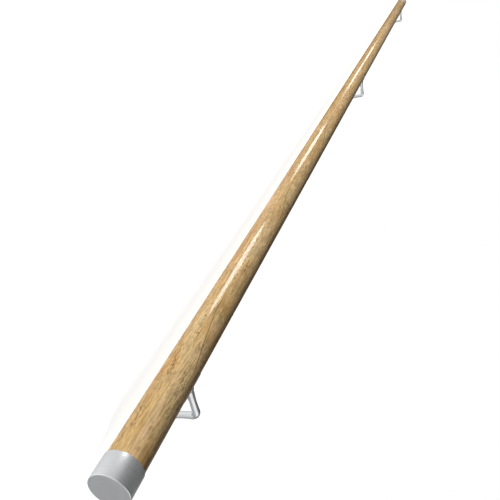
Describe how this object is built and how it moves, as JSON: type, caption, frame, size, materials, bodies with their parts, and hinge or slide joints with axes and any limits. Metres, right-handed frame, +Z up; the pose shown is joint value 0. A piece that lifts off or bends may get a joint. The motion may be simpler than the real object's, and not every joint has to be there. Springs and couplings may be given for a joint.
{
  "type": "stair handrail",
  "caption": "Straight round wooden stair handrail with a metal cap on each end and cranked metal wall brackets along its underside.",
  "frame": {"origin": "on the floor, under the middle of the whole part's box, as the part lies at rest", "axes": "+X along the rail from the near end to the far end, +Z up from the floor, the brackets on the -Y side"},
  "size_m": [3.002, 0.1282, 0.0623],
  "materials": {
    "rail_wood": "clear satin to gloss lacquer over honey-coloured open-grained hardwood",
    "cap_metal": "fine satin, brushed round the barrel",
    "bracket_metal": "bright satin"
  },
  "bodies": {
    "root": {"rail": "rail_wood", "near_end_cap": "cap_metal", "far_end_cap": "cap_metal", "near_bracket": "bracket_metal", "middle_bracket": "bracket_metal", "far_bracket": "bracket_metal"}
  },
  "joints": []
}
